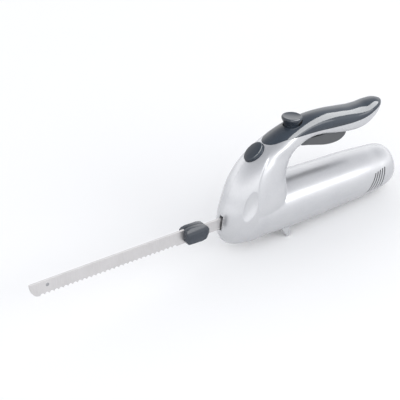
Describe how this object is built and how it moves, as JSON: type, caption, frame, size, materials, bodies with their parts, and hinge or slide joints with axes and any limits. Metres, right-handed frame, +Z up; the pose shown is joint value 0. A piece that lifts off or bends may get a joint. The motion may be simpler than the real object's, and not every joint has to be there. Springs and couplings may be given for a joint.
{
  "type": "electric carving knife",
  "caption": "Corded electric carving knife: motor barrel with an open-ended handle, trigger and lock, and twin serrated blades that slide against each other and pull out.",
  "frame": {"origin": "centre of the bounding box on the surface that the knife lies on, feet and rear belly down", "axes": "+X from the blade tips to the rear of the barrel, +Y to the right-hand shell, +Z up"},
  "size_m": [0.4584, 0.0612, 0.1297],
  "materials": {
    "body_silver": "satin silver painted ABS",
    "cover_slate": "polished slate-grey ABS",
    "button_slate": "polished slate-grey ABS",
    "trigger_grey": "fine grained grey ABS",
    "blade_steel": "fine brushed stainless",
    "rivet_steel": "peened steel",
    "guard_grey": "glossy blue-grey ABS",
    "inner_black": "moulded black nylon",
    "spring_steel": "drawn spring wire",
    "shaft_steel": "ground steel",
    "plated_steel": "zinc-plated pressed steel",
    "bearing_bronze": "sintered bronze",
    "worm_brass": "hobbed brass",
    "nylon": "natural nylon",
    "plunger_red": "moulded",
    "magnet": "ferrite",
    "brush_carbon": "pressed carbon",
    "core_iron": "laminated iron",
    "winding_copper": "enamelled copper",
    "board_green": "glass epoxy board with solder mask",
    "inlet_rubber": "moulded rubber"
  },
  "bodies": {
    "housing": {"left_shell": "body_silver", "right_shell": "body_silver", "handle_cover": "cover_slate", "nose_guide": "inner_black", "lock_spring": "spring_steel", "release_spring": "spring_steel", "trigger_pin": "shaft_steel", "trigger_spring": "spring_steel", "microswitch": "inner_black", "gearbox_frame": "plated_steel", "axle_bushes": "bearing_bronze", "motor_can": "plated_steel", "motor_magnets": "magnet", "motor_end_cap": "inner_black", "motor_bearings": "bearing_bronze", "motor_brushes": "brush_carbon", "rectifier_board": "board_green", "cord_inlet_bush": "inlet_rubber", "shell_screws": "shaft_steel"},
    "lock_button": {"lock_button": "button_slate"},
    "release_button": {"release_button": "button_slate", "release_rod": "inner_black"},
    "trigger": {"trigger": "trigger_grey"},
    "plunger": {"switch_plunger": "plunger_red"},
    "rotor": {"motor_shaft": "shaft_steel", "worm": "worm_brass", "armature_core": "core_iron", "armature_windings": "winding_copper", "commutator": "winding_copper", "cooling_fan": "nylon"},
    "gear": {"gear_axle": "shaft_steel", "worm_gear": "nylon", "left_eccentric": "shaft_steel", "right_eccentric": "shaft_steel"},
    "left_drive": {"left_carrier": "nylon", "left_latch": "spring_steel"},
    "right_drive": {"right_carrier": "nylon", "right_latch": "spring_steel"},
    "left_blade_set": {"left_blade": "blade_steel", "left_guard": "guard_grey", "tip_rivet": "rivet_steel"},
    "right_blade_set": {"right_blade": "blade_steel", "right_guard": "guard_grey"}
  },
  "joints": [
    {"name": "lock_press", "type": "slide", "parent": "housing", "child": "lock_button", "axis": [-0.1308, 0, -0.9914], "range_m": [0, 0.003], "stiffness_N_per_m": 900, "springref_m": -0.002, "deforming": ["lock_spring"]},
    {"name": "release_press", "type": "slide", "parent": "housing", "child": "release_button", "axis": [0.5371, 0, -0.8435], "range_m": [0, 0.003], "stiffness_N_per_m": 900, "springref_m": -0.002, "deforming": ["release_spring"]},
    {"name": "trigger_pull", "type": "hinge", "parent": "housing", "child": "trigger", "pos_m": [0.11332, 0, 0.10606], "axis": [0, -1, 0], "range_deg": [0, 5.5], "stiffness_Nm_per_rad": 1.2, "springref_deg": -6.88, "deforming": ["trigger_spring"]},
    {"name": "plunger_push", "type": "slide", "parent": "housing", "child": "plunger", "axis": [0.0613, 0, 0.9981], "range_m": [0, 0.002]},
    {"name": "rotor_spin", "type": "hinge", "parent": "housing", "child": "rotor", "pos_m": [0.10539, 0, 0.02589], "axis": [0.9981, 0, -0.0613], "continuous": true},
    {"name": "gear_spin", "type": "hinge", "parent": "housing", "child": "gear", "pos_m": [0.06657, 0, 0.04631], "axis": [0, 1, 0], "continuous": true},
    {"name": "left_drive_slide", "type": "slide", "parent": "housing", "child": "left_drive", "axis": [0.9981, 0, -0.0613], "range_m": [-0.004, 0.004]},
    {"name": "right_drive_slide", "type": "slide", "parent": "housing", "child": "right_drive", "axis": [0.9981, 0, -0.0613], "range_m": [-0.004, 0.004]},
    {"name": "left_blade_pull", "type": "slide", "parent": "left_drive", "child": "left_blade_set", "axis": [-0.9981, 0, 0.0613], "range_m": [0, 0.045]},
    {"name": "right_blade_pull", "type": "slide", "parent": "right_drive", "child": "right_blade_set", "axis": [-0.9981, 0, 0.0613], "range_m": [0, 0.045]}
  ],
  "couplings": [
    {"joint": "gear_spin", "follows": "rotor_spin", "ratio": -0.066667},
    {"joint": "right_drive_slide", "follows": "left_drive_slide", "ratio": -1},
    {"joint": "right_blade_pull", "follows": "left_blade_pull", "ratio": 1},
    {"joint": "plunger_push", "follows": "trigger_pull", "m_per_rad": 0.013}
  ]
}
